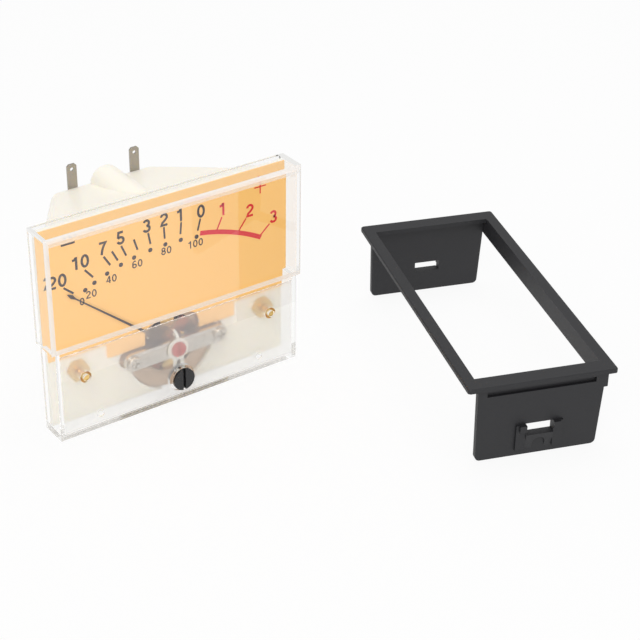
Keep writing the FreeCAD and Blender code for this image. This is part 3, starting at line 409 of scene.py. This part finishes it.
def clear_body(tree, index, tint):
    """A clear solid, with a painted pale glow where a path bounces on inside it, and the socket of its
    roughness.
    """
    glass = tree.nodes.new("ShaderNodeBsdfPrincipled")
    glass.inputs["Base Color"].default_value = (*tint, 1)
    glass.inputs["Transmission Weight"].default_value = 1.0
    glass.inputs["IOR"].default_value = index
    glass.inputs["Roughness"].default_value = 0.0
    path = tree.nodes.new("ShaderNodeLightPath")
    turned_back = maths(tree, "GREATER_THAN", path.outputs["Glossy Depth"], MOST_REFLECTIONS)
    passed_on = maths(tree, "GREATER_THAN", path.outputs["Transmission Depth"], MOST_PASSAGES)
    fill = plain(tree, "ShaderNodeEmission", PAINTED_FILL_GLOW)
    body = mixed(tree, greatest(tree, turned_back, passed_on), glass.outputs["BSDF"], fill)
    return body, glass.inputs["Roughness"]


def lit_through(tree, body, tint):
    """A clear solid that shadow rays and diffuse rays pass straight through."""
    path = tree.nodes.new("ShaderNodeLightPath")
    passing = greatest(tree, path.outputs["Is Shadow Ray"], path.outputs["Is Diffuse Ray"])
    return mixed(tree, passing, body, plain(tree, "ShaderNodeBsdfTransparent", tint))


def cover_zones(tree):
    """Where the clear cover is frosted, and how hazy it is from place to place, where the haze is real
    frosting on the lower panel and painted white highlight on the window's bevel, the wall strips and the
    foot.
    """
    where = tree.nodes.new("ShaderNodeTexCoord")
    split = tree.nodes.new("ShaderNodeSeparateXYZ")
    tree.links.new(where.outputs["Object"], split.inputs["Vector"])
    x, y, z = (split.outputs[axis] for axis in "XYZ")
    low, high = (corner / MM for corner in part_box("front_cover"))
    bevel, strip, ledge = sizes().bevel, sizes().strip, sizes().ledge

    def zone(along, start, end):
        return between(tree, along, start * MM, end * MM)

    frosted = times(tree, zone(z, FROST_BOTTOM, sizes().frost_top), zone(y, *FROST_FACE),
                    zone(x, -FROST_HALF_WIDTH, FROST_HALF_WIDTH))
    # Painted white highlight: the window's bevel and the wall strips seen through it, and the thin line and
    # rear end at the cover's foot
    rim = greatest(tree, zone(z, high.z - bevel, high.z + ZONE_MARGIN),
                   zone(z, ledge - ZONE_MARGIN, ledge + bevel),
                   zone(x, low.x - ZONE_MARGIN, low.x + bevel),
                   zone(x, high.x - bevel, high.x + ZONE_MARGIN))
    bevelled = times(tree, zone(y, low.y - ZONE_MARGIN, low.y + bevel + ZONE_SKIN), rim)
    front = zone(y, low.y - ZONE_SKIN, low.y + ZONE_SKIN)
    top_strip = times(tree, front, zone(z, high.z - bevel - strip, high.z - bevel))
    low_strip = times(tree, front, zone(z, ledge + bevel, ledge + bevel + strip))
    foot_line = zone(z, *FOOT_LINE_HEIGHTS)
    foot_end = times(tree, zone(z, *FOOT_END_HEIGHTS), zone(y, *FOOT_END_DEPTHS))
    # The haze holds the real frosting and the painted highlights together
    haze = greatest(tree, times(tree, frosted, sizes().frost_haze), times(tree, bevelled, sizes().rim_highlight),
                    times(tree, top_strip, TOP_STRIP_HIGHLIGHT), times(tree, low_strip, WALL_EDGE_HIGHLIGHT),
                    times(tree, foot_line, WALL_EDGE_HIGHLIGHT), times(tree, foot_end, WALL_EDGE_HIGHLIGHT))
    return frosted, haze


def acrylic(name):
    """Clear acrylic, frosted on the lower panel, with painted white highlights at the window's bevel and
    the walls' edges.
    """
    material, tree, output = new_material(name)
    body, roughness = clear_body(tree, ACRYLIC_INDEX, ACRYLIC_TINT)
    frosted, haze = cover_zones(tree)
    tree.links.new(times(tree, frosted, FROST_ROUGHNESS), roughness)
    veil = mixed(tree, HAZE_AND_HIGHLIGHT_SHARE, plain(tree, "ShaderNodeBsdfTranslucent", HAZE_AND_HIGHLIGHT_BEHIND),
                 plain(tree, "ShaderNodeBsdfDiffuse", HAZE_AND_HIGHLIGHT_BEFORE))
    veiled = mixed(tree, haze, body, veil)
    tree.links.new(lit_through(tree, veiled, ACRYLIC_TINT), output.inputs["Surface"])
    return material


def lamp_glass(name):
    """The lamp's clear bulb."""
    material, tree, output = new_material(name)
    body, _ = clear_body(tree, LAMP_INDEX, LAMP_TINT)
    tree.links.new(lit_through(tree, body, LAMP_TINT), output.inputs["Surface"])
    return material


def winding(name, rgb):
    """Enamelled wire: fine turns that run round the coil."""
    material, tree, output = new_material(name)
    shader = tree.nodes.new("ShaderNodeBsdfPrincipled")
    shader.inputs["Base Color"].default_value = (*rgb, 1)
    shader.inputs["Metallic"].default_value = 0.85
    shader.inputs["Roughness"].default_value = 0.32
    where = tree.nodes.new("ShaderNodeTexCoord")
    wave = tree.nodes.new("ShaderNodeTexWave")
    wave.bands_direction = "DIAGONAL"
    wave.inputs["Scale"].default_value = 1300.0
    bump = tree.nodes.new("ShaderNodeBump")
    bump.inputs["Strength"].default_value = 0.5
    bump.inputs["Distance"].default_value = GRAIN_DEPTH
    tree.links.new(where.outputs["Object"], wave.inputs["Vector"])
    tree.links.new(wave.outputs["Fac"], bump.inputs["Height"])
    tree.links.new(bump.outputs["Normal"], shader.inputs["Normal"])
    tree.links.new(shader.outputs["BSDF"], output.inputs["Surface"])
    return material


def slot_materials():
    """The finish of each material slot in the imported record."""
    c = colours()
    return {
        "clear_acrylic": acrylic("clear_acrylic_look"),
        # The dial is given a faint painted glow of its own amber, standing in for light from behind it
        "dial_white": surface("dial_look", c.amber, roughness=0.6, strength=0.03, glow=0.12),
        # The housing is given a faint painted glow of its own ivory, which lifts its shaded parts
        "ivory_plastic": surface("ivory_look", c.ivory, roughness=0.35, strength=0.05, coat=0.15,
                                 soft=0.35, glow=0.06),
        "brass": surface("brass_look", c.brass, roughness=0.22, metallic=1.0),
        "soft_iron": surface("yoke_look", c.iron, roughness=0.38, metallic=0.9),
        "magnet": surface("magnet_look", c.magnet, roughness=0.35, metallic=0.9),
        "aluminium": surface("aluminium_look", c.aluminium, roughness=0.3, metallic=1.0),
        "copper_wire": winding("copper_look", c.copper),
        "steel": surface("steel_look", c.steel, roughness=0.2, metallic=1.0),
        "pointer_black": surface("pointer_look", c.ink, roughness=0.5, strength=0.02),
        "bronze_strip": surface("bronze_look", c.bronze, roughness=0.25, metallic=1.0),
        "nickel": surface("nickel_look", c.nickel, roughness=0.24, metallic=0.95),
        "red_brass": surface("red_look", c.red_metal, roughness=0.3, coat=0.4),
        "ruby": surface("ruby_look", c.ruby, roughness=0.1, coat=0.5),
        "cream_plastic": surface("cream_look", c.cream, roughness=0.4, soft=0.2, strength=0.04),
        "black_plastic": surface("gloss_black_look", c.gloss_black, roughness=0.28),
        "tinned_brass": surface("tin_look", c.tin, roughness=0.36, metallic=0.95, scale=600.0,
                                strength=0.2),
        "white_plastic": surface("white_look", c.white, roughness=0.45),
        "lamp_glass": lamp_glass("lamp_look"),
        "bezel_black": surface("bezel_look", c.black, roughness=0.55, scale=1600.0, strength=0.25),
    }


def print_piece(name, work, look_name, rgb):
    """Turns a flat print into an object on the dial that stays with the meter's body."""
    bmesh.ops.remove_doubles(work, verts=work.verts, dist=JOIN_DISTANCE)
    mesh = bpy.data.meshes.new(name)
    work.to_mesh(mesh)
    work.free()
    mesh.materials.append(surface(look_name, rgb, roughness=0.7, strength=0.02))
    piece = bpy.data.objects.new(name, mesh)
    bpy.context.scene.collection.objects.link(piece)
    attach(piece, "meter_body")


def print_depth():
    """Y of the printed layer, just in front of the dial."""
    low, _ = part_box("dial_plate")
    return low.y - sizes().print_gap * MM


def flat_face(work, points):
    """A flat polygon on the dial from X and Z places in mm."""
    y = print_depth()
    corners = [work.verts.new((x * MM, y, z * MM)) for x, z in points]
    face = work.faces.new(corners)
    face.normal_update()
    if face.normal.y > 0:
        face.normal_flip()


def from_pivot(angle):
    """The direction from the pivot at an angle from upright, in degrees."""
    return Vector((math.sin(math.radians(angle)), math.cos(math.radians(angle))))


def on_arc(angle, radius):
    """Where a line from the pivot meets a circle about the scale's centre."""
    start = Vector((0.0, PIVOT_HEIGHT))
    offset = start - Vector((0.0, sizes().arc_centre))
    direction = from_pivot(angle)
    along = offset.dot(direction)
    reach = -along + math.sqrt(along * along - offset.length_squared + radius * radius)
    return start + direction * reach


def tick(work, angle, inner, outer, width):
    """A scale mark that points at the pivot, between two circles about the scale's centre."""
    direction = from_pivot(angle)
    near, far = on_arc(angle, inner), on_arc(angle, outer)
    side = Vector((direction.y, -direction.x)) * (width / 2)
    flat_face(work, [near - side, near + side, far + side, far - side])


def dot(work, angle):
    """A round percent mark."""
    middle = on_arc(angle, sizes().dot_arc)
    radius = sizes().dot_radius
    turns = [2 * math.pi * k / DOT_CORNERS for k in range(DOT_CORNERS)]
    flat_face(work, [(middle.x + radius * math.cos(a), middle.y + radius * math.sin(a)) for a in turns])


# A bow has a point about every so many degrees, and no fewer steps than these
BOW_STEP = 15
BOW_FEWEST_STEPS = 6

# A stroke whose ends are nearer than this, in mm, is closed, and the limit keeps sharp mitres short
SAME_PLACE = 1e-6
MITRE_LIMIT = 0.6


def bow(x, z, across, up, first, last):
    """Points along part of an oval, from its centre, half sizes and end angles in degrees."""
    steps = max(BOW_FEWEST_STEPS, int(abs(last - first) / BOW_STEP))
    turns = [math.radians(first + (last - first) * k / steps) for k in range(steps + 1)]
    return [(x + across * math.cos(a), z + up * math.sin(a)) for a in turns]


# Each digit's middle, and the middle lines of its strokes; a digit stands on 0 and is 1 high
DIGIT_MIDDLE = (0.28, 0.5)
DIGIT_STROKES = {
    "0": [bow(0.28, 0.5, 0.2, 0.425, 0, 360)],
    "1": [[(0.37, 0.0), (0.37, 1.0)], [(0.34, 0.95), (0.29, 0.83), (0.21, 0.785), (0.11, 0.775)]],
    "2": [bow(0.28, 0.70, 0.195, 0.225, 175, -28)
          + [(0.34, 0.44), (0.16, 0.28), (0.085, 0.075), (0.5, 0.075)]],
    "3": [bow(0.265, 0.715, 0.175, 0.21, 160, -90), bow(0.27, 0.29, 0.2, 0.215, 90, -165)],
    "4": [[(0.4, 0.0), (0.4, 0.96)], [(0.38, 0.93), (0.07, 0.3), (0.53, 0.3)]],
    "5": [[(0.46, 0.925), (0.16, 0.925), (0.115, 0.5)], bow(0.27, 0.31, 0.2, 0.235, 140, -162)],
    "6": [bow(0.28, 0.3, 0.195, 0.225, 0, 360), bow(0.31, 0.5, 0.225, 0.425, 55, 205)],
    "7": [[(0.06, 0.925), (0.5, 0.925), (0.36, 0.68), (0.25, 0.36), (0.2, 0.0)]],
    "8": [bow(0.28, 0.725, 0.165, 0.2, 0, 360), bow(0.28, 0.29, 0.2, 0.215, 0, 360)],
}


def stroke(work, points, width):
    """A flat line of even width through the points, with mitred corners."""
    places = [Vector(p) for p in points]
    closed = (places[0] - places[-1]).length < SAME_PLACE
    if closed:
        places.pop()
    count = len(places)
    edges = []
    for k, place in enumerate(places):
        before = places[k - 1] if closed or k > 0 else None
        after = places[(k + 1) % count] if closed or k < count - 1 else None
        come = (place - before).normalized() if before is not None else (after - place).normalized()
        leave = (after - place).normalized() if after is not None else come
        along = (come + leave).normalized()
        across = Vector((-along.y, along.x)) * (width / 2 / max(MITRE_LIMIT, along.dot(leave)))
        edges.append((place - across, place + across))
    if closed:
        edges.append(edges[0])
    for (right, left), (next_right, next_left) in zip(edges, edges[1:]):
        flat_face(work, [right, next_right, next_left, left])


def digits(work, text, x, z, height, weight):
    """A number in plain upright digits, centred on one place."""
    s = sizes()
    pitch = s.digit_pitch * height
    centre_x, centre_z = DIGIT_MIDDLE
    first = x - pitch * (len(text) - 1) / 2
    for k, character in enumerate(text):
        middle = first + pitch * k
        for line in DIGIT_STROKES[character]:
            placed = [(middle + (a - centre_x) * s.digit_spread * height, z + (b - centre_z) * height)
                      for a, b in line]
            stroke(work, placed, weight * height)


def bar(work, x, z, width, height):
    """An upright rectangle of print, for the signs at the scale's ends."""
    left, right, low, high = x - width / 2, x + width / 2, z - height / 2, z + height / 2
    flat_face(work, [(left, low), (right, low), (right, high), (left, high)])


class METER_OT_finishes(bpy.types.Operator):
    """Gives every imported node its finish"""
    bl_idname = "meter.finishes"
    bl_label = "Finishes"

    def execute(self, context):
        looks = slot_materials()
        slot_of = {part["node"]: part["material_slot"] for part in frame["record"]["subparts"]}
        for name, node in frame["nodes"].items():
            node.data.materials.clear()
            node.data.materials.append(looks[slot_of[name]])
        return {"FINISHED"}


class METER_OT_edges(bpy.types.Operator):
    """Softens the edges of the solid moulded and metal nodes"""
    bl_idname = "meter.edges"
    bl_label = "Softened edges"

    def execute(self, context):
        radii = {"bezel": sizes().edge, "rear_housing": sizes().edge, **EDGE_RADII}
        for name, radius in radii.items():
            bevel = frame["nodes"][name].modifiers.new("softened", "BEVEL")
            bevel.width = radius * MM
            bevel.segments = EDGE_SEGMENTS
            bevel.limit_method = "ANGLE"
            bevel.angle_limit = math.radians(EDGE_ANGLE)
        return {"FINISHED"}


class METER_OT_scale(bpy.types.Operator):
    """Prints the dark part of the dial's scale"""
    bl_idname = "meter.scale"
    bl_label = "Dark scale"

    def execute(self, context):
        s = sizes()
        work = bmesh.new()
        for label, (angle, x, z) in MAIN_TICKS.items():
            tick(work, angle, s.tick_inner, s.tick_outer, s.tick_width)
            if x is not None:
                digits(work, label, x, z, s.digit_height, s.digit_weight)
        for angle in PERCENT_DOTS:
            dot(work, angle)
        for label, (x, z) in PERCENT_LABELS.items():
            digits(work, label, x, z, s.small_digit_height, s.small_digit_weight)
        bar(work, *MINUS_BAR)
        print_piece("dial_scale", work, "ink_look", colours().ink)
        return {"FINISHED"}


class METER_OT_red_scale(bpy.types.Operator):
    """Prints the red part of the dial's scale"""
    bl_idname = "meter.red_scale"
    bl_label = "Red scale"

    def execute(self, context):
        s = sizes()
        work = bmesh.new()
        for label, (angle, x, z) in RED_TICKS.items():
            tick(work, angle, s.tick_inner - RED_TICK_REACH, s.tick_outer, s.tick_width * RED_TICK_SHARE)
            digits(work, label, x, z, s.digit_height, s.digit_weight)
        first = math.asin(s.band_start / s.band_inner)
        last = math.asin(s.band_end / s.band_inner)
        for k in range(BAND_STEPS):
            a = first + (last - first) * k / BAND_STEPS
            b = first + (last - first) * (k + 1) / BAND_STEPS
            piece = ((a, s.band_inner), (b, s.band_inner), (b, s.band_outer), (a, s.band_outer))
            flat_face(work, [(radius * math.sin(angle), s.arc_centre + radius * math.cos(angle))
                             for angle, radius in piece])
        for sign_bar in PLUS_BARS:
            bar(work, *sign_bar)
        print_piece("dial_red_scale", work, "red_ink_look", colours().red_ink)
        return {"FINISHED"}


def stage_card(name, corners, material):
    """A flat card from its corners."""
    mesh = bpy.data.meshes.new(name)
    mesh.from_pydata([Vector(c) for c in corners], [], [tuple(range(len(corners)))])
    mesh.materials.append(material)
    card = bpy.data.objects.new(name, mesh)
    bpy.context.scene.collection.objects.link(card)
    card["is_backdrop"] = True
    return card


def area_light(name, place, target, power):
    """A soft square light that points at a place."""
    data = bpy.data.lights.new(name, "AREA")
    data.shape = "SQUARE"
    data.size = LIGHT_SIZE
    data.energy = power
    light = bpy.data.objects.new(name, data)
    bpy.context.scene.collection.objects.link(light)
    light.location = place
    light.rotation_mode = "QUATERNION"
    light.rotation_quaternion = (Vector(target) - Vector(place)).to_track_quat("-Z", "Y")


def floor_material():
    """Pale floor that shows as plain white and still lights the object from below."""
    material, tree, output = new_material("floor_look")
    path = tree.nodes.new("ShaderNodeLightPath")
    seen = greatest(tree, path.outputs["Is Camera Ray"], path.outputs["Is Transmission Ray"],
                    path.outputs["Is Glossy Ray"])
    grey = plain(tree, "ShaderNodeBsdfDiffuse", FLOOR_GREY)
    white = plain(tree, "ShaderNodeEmission", WHITE)
    tree.links.new(mixed(tree, times(tree, seen, FLOOR_WHITENESS), grey, white), output.inputs["Surface"])
    return material


def white_surroundings(tree):
    """Plain white as seen directly or through clear pieces, and dimmer as a source of light."""
    background = tree.nodes["Background"]
    background.inputs["Color"].default_value = (*WHITE, 1)
    path = tree.nodes.new("ShaderNodeLightPath")
    level = tree.nodes.new("ShaderNodeMapRange")
    level.inputs["To Min"].default_value = ROOM_LEVEL
    level.inputs["To Max"].default_value = 1.0
    seen = greatest(tree, path.outputs["Is Camera Ray"], path.outputs["Is Transmission Ray"])
    tree.links.new(seen, level.inputs["Value"])
    tree.links.new(level.outputs["Result"], background.inputs["Strength"])


def card_material(name, rgb):
    """A flat card that glows towards the meter and is clear from its other side."""
    material, tree, output = new_material(name)
    side = tree.nodes.new("ShaderNodeNewGeometry")
    clear = plain(tree, "ShaderNodeBsdfTransparent", WHITE)
    glow = plain(tree, "ShaderNodeEmission", rgb)
    tree.links.new(mixed(tree, side.outputs["Backfacing"], clear, glow), output.inputs["Surface"])
    return material


def reflection_cards():
    """A bright and a grey card that only reflections see, which put the soft veil on the window."""
    start, end = CARD_SIDES
    low, high = CARD_HEIGHTS
    for name, left, right, rgb in (("bright_card", start, CARD_SPLIT, BRIGHT_CARD),
                                   ("grey_card", CARD_SPLIT, end, GREY_CARD)):
        outline = [(x, CARD_DEPTH, z) for x, z in ((left, low), (right, low), (right, high), (left, high))]
        card = stage_card(name, outline, card_material(name + "_look", rgb))
        card.visible_camera = False
        card.visible_diffuse = False
        card.visible_transmission = False
        card.visible_volume_scatter = False
        card.visible_shadow = False


def photograph_camera():
    """The camera at the photograph's place, turned by its three angles."""
    data = bpy.data.cameras.new("camera")
    data.sensor_width = CAMERA_SENSOR
    data.lens = CAMERA_LENS
    data.clip_start = CAMERA_NEAR
    camera = bpy.data.objects.new("camera", data)
    pitch, yaw, roll = (math.radians(angle) for angle in (CAMERA_PITCH, CAMERA_YAW, CAMERA_ROLL))
    level = Vector((math.sin(yaw), math.cos(yaw), 0.0)) * math.cos(pitch)
    forward = level - Vector((0.0, 0.0, math.sin(pitch)))
    right = Vector((math.cos(yaw), -math.sin(yaw), 0.0))
    down = forward.cross(right)
    turned_right = right * math.cos(roll) + down * math.sin(roll)
    turned_down = down * math.cos(roll) - right * math.sin(roll)
    matrix = Matrix((turned_right, -turned_down, -forward)).transposed().to_4x4()
    matrix.translation = Vector(CAMERA_PLACE)
    camera.matrix_world = matrix
    return camera


class METER_OT_stage(bpy.types.Operator):
    """Adds the floor, the lights, the background and the camera"""
    bl_idname = "meter.stage"
    bl_label = "Stage"

    def execute(self, context):
        scene = context.scene
        stage_card("floor", [(x, y, FLOOR_HEIGHT) for x, y in FLOOR_CORNERS], floor_material())
        world = bpy.data.worlds.new("white_room")
        world.use_nodes = True
        white_surroundings(world.node_tree)
        scene.world = world
        area_light("key_light", place=(-0.45, -0.55, 0.75), target=(0, 0, 0.03), power=3.2)
        area_light("top_light", place=(0.2, 0.1, 0.8), target=(0.03, 0, 0.03), power=1.6)
        reflection_cards()
        scene.view_settings.view_transform = "Standard"
        camera = photograph_camera()
        scene.collection.objects.link(camera)
        scene.camera = camera
        return {"FINISHED"}


class METER_PT_panel(bpy.types.Panel):
    """Sizes, colours and build steps of the meter"""
    bl_label = "Level meter"
    bl_space_type = "VIEW_3D"
    bl_region_type = "UI"
    bl_category = "Meter"

    def draw(self, context):
        layout = self.layout
        for name in MeterSizes.__annotations__:
            layout.prop(context.scene.meter_sizes, name)
        for name in MeterColours.__annotations__:
            layout.prop(context.scene.meter_colours, name)
        for operator in OPERATORS:
            layout.operator(operator.bl_idname)


OPERATORS = (METER_OT_finishes, METER_OT_edges, METER_OT_scale, METER_OT_red_scale, METER_OT_stage)
CLASSES = (MeterSizes, MeterColours, *OPERATORS, METER_PT_panel)


def register():
    """Adds the classes and the scene's own sizes and colours."""
    for item in CLASSES:
        bpy.utils.register_class(item)
    bpy.types.Scene.meter_sizes = bpy.props.PointerProperty(type=MeterSizes)
    bpy.types.Scene.meter_colours = bpy.props.PointerProperty(type=MeterColours)


def unregister():
    """Takes away what register added."""
    del bpy.types.Scene.meter_colours
    del bpy.types.Scene.meter_sizes
    for item in reversed(CLASSES):
        bpy.utils.unregister_class(item)


def corners():
    """The shown object's lowest and highest corner as plain lists."""
    low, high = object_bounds()
    return [list(low), list(high)]


def main():
    """Builds the looks in order."""
    register()
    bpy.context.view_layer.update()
    bpy.ops.meter.finishes()
    bpy.ops.meter.edges()
    bpy.ops.meter.scale()
    bpy.ops.meter.red_scale()
    bpy.ops.meter.stage()


if __name__ == "__main__":
    main()
